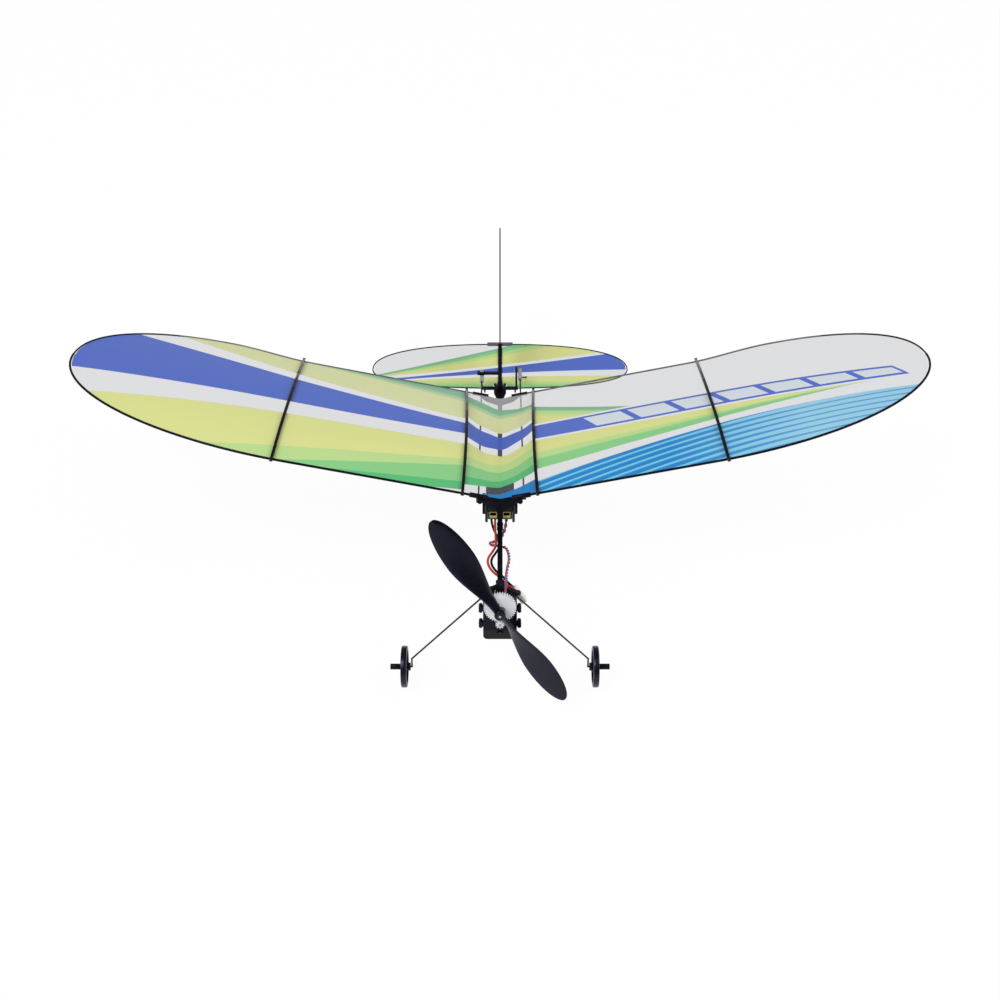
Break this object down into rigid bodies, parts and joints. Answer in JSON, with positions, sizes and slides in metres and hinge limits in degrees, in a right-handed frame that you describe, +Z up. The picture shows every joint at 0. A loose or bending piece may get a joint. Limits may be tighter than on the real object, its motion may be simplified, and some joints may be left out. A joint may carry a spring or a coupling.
{
  "type": "model_airplane",
  "caption": "Ultralight indoor electric plane with a film wing on rods and ribs, a geared two-blade propeller, wire legs with spoked wheels, and a rudder and elevator on pushrods.",
  "frame": {"origin": "centre of the footprint on the floor, under the middle of the bounding box", "axes": "+X to the pilot's left, along the span; +Y from the nose to the tail; +Z up from the floor"},
  "size_m": [0.3642, 0.2524, 0.0864],
  "materials": {
    "carbon_rod": "satin black",
    "black_moulding": "satin",
    "propeller_black": "gloss",
    "white_gear": "satin",
    "steel_wire": "bare",
    "motor_steel": "plated",
    "bearing_brass": "bare",
    "wing_film": "thin translucent film with plain stripes",
    "tail_film": "thin translucent film with plain stripes",
    "board_green": "lacquered",
    "socket_ivory": "satin",
    "foam_tape": "matt",
    "grey_connector": "satin",
    "plug_white": "satin",
    "wire_red": "matt insulation",
    "wire_black": "matt insulation",
    "wire_pair": "matt insulation, red and blue"
  },
  "bodies": {
    "airframe": {"boom": "carbon_rod", "gearbox_body": "black_moulding", "gearbox_plate": "black_moulding", "front_bearing": "bearing_brass", "rear_bearing": "bearing_brass", "motor_can": "motor_steel", "motor_end_cap": "plug_white", "left_gear_leg": "steel_wire", "right_gear_leg": "steel_wire", "left_wheel_stop": "black_moulding", "right_wheel_stop": "black_moulding", "front_wing_mount": "black_moulding", "rear_wing_mount": "black_moulding", "left_leading_edge": "carbon_rod", "right_leading_edge": "carbon_rod", "left_trailing_edge": "carbon_rod", "right_trailing_edge": "carbon_rod", "left_inner_rib": "black_moulding", "right_inner_rib": "black_moulding", "left_outer_rib": "black_moulding", "right_outer_rib": "black_moulding", "left_wing_film": "wing_film", "centre_wing_film": "wing_film", "right_wing_film": "wing_film", "receiver_case": "black_moulding", "receiver_board": "board_green", "signal_sockets": "socket_ivory", "receiver_tape": "foam_tape", "rudder_servo_motor": "motor_steel", "elevator_servo_motor": "motor_steel", "tail_block": "black_moulding", "battery_lead_red": "wire_red", "battery_lead_black": "wire_black", "battery_plug": "plug_white", "motor_lead": "wire_pair"},
    "propeller_unit": {"propeller": "propeller_black", "prop_shaft": "steel_wire", "spur_gear": "white_gear"},
    "motor_rotor": {"motor_shaft": "steel_wire", "pinion": "white_gear"},
    "left_wheel_body": {"left_wheel": "black_moulding"},
    "right_wheel_body": {"right_wheel": "black_moulding"},
    "elevator": {"elevator_bar": "black_moulding", "elevator_bow": "carbon_rod", "elevator_spine": "black_moulding", "elevator_rear_bar": "black_moulding", "elevator_film": "tail_film"},
    "rudder": {"rudder_post": "black_moulding", "rudder_pin": "steel_wire", "rudder_bow": "carbon_rod", "rudder_film": "tail_film"},
    "elevator_linkage": {"elevator_slider": "black_moulding", "elevator_pushrod": "carbon_rod", "elevator_connector": "grey_connector", "elevator_set_screw": "black_moulding"},
    "rudder_linkage": {"rudder_slider": "black_moulding", "rudder_pushrod": "carbon_rod", "rudder_connector": "grey_connector", "rudder_set_screw": "black_moulding"}
  },
  "joints": [
    {"name": "prop_spin", "type": "hinge", "parent": "airframe", "child": "propeller_unit", "pos_m": [0, -0.11694, 0.04852], "axis": [0, 0.9729, -0.2313], "continuous": true},
    {"name": "pinion_spin", "type": "hinge", "parent": "airframe", "child": "motor_rotor", "pos_m": [0, -0.11526, 0.04087], "axis": [0, 0.9729, -0.2313], "continuous": true},
    {"name": "left_wheel_spin", "type": "hinge", "parent": "airframe", "child": "left_wheel_body", "pos_m": [0.0371, -0.10692, 0.0081], "axis": [1, 0, 0], "continuous": true},
    {"name": "right_wheel_spin", "type": "hinge", "parent": "airframe", "child": "right_wheel_body", "pos_m": [-0.0371, -0.10692, 0.0081], "axis": [1, 0, 0], "continuous": true},
    {"name": "elevator_hinge", "type": "hinge", "parent": "airframe", "child": "elevator", "pos_m": [0, 0.07314, 0.00671], "axis": [1, 0, 0], "range_deg": [-20, 20]},
    {"name": "rudder_hinge", "type": "hinge", "parent": "airframe", "child": "rudder", "pos_m": [0, 0.07193, 0.01671], "axis": [0, 0.2313, 0.9729], "range_deg": [-25, 25]},
    {"name": "elevator_push", "type": "slide", "parent": "airframe", "child": "elevator_linkage", "axis": [0, 0.9729, -0.2313], "range_m": [-0.00333, 0.00333]},
    {"name": "rudder_push", "type": "slide", "parent": "airframe", "child": "rudder_linkage", "axis": [0, 0.9729, -0.2313], "range_m": [-0.00411, 0.00411]}
  ],
  "couplings": [
    {"joint": "pinion_spin", "follows": "prop_spin", "ratio": -4.2222},
    {"joint": "elevator_push", "follows": "elevator_hinge", "m_per_rad": -0.0093843},
    {"joint": "rudder_push", "follows": "rudder_hinge", "m_per_rad": -0.0092977}
  ]
}
